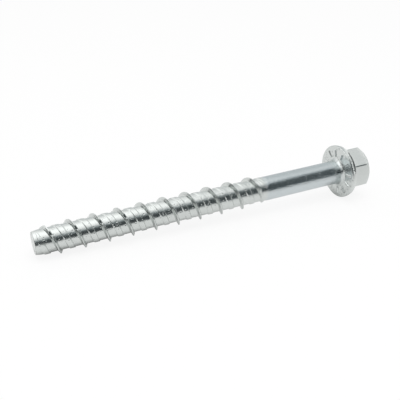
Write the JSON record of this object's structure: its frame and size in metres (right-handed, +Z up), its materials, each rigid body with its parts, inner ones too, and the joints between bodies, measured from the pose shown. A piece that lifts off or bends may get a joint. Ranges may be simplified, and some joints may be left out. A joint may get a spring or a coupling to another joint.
{
  "type": "concrete screw",
  "caption": "Self-tapping anchor screw for concrete: blunt end, coarse notched cutting thread, plain shank, and a hex flange head with locking ribs under it.",
  "frame": {"origin": "on the surface that the screw lies on, below the middle of its whole length", "axes": "+X runs along the screw from its blunt end to its head, +Z is up from the surface. The screw's own axis rises 2.44 degrees from +X towards the head, because it rests on the flange's rim and on the first full turn of the thread"},
  "size_m": [0.1418, 0.0224, 0.0225],
  "materials": {
    "zinc_plated_steel": "bright electroplated zinc over cold-forged and thread-rolled steel, semi-gloss"
  },
  "bodies": {
    "root": {"concrete_screw": "zinc_plated_steel"}
  },
  "joints": []
}
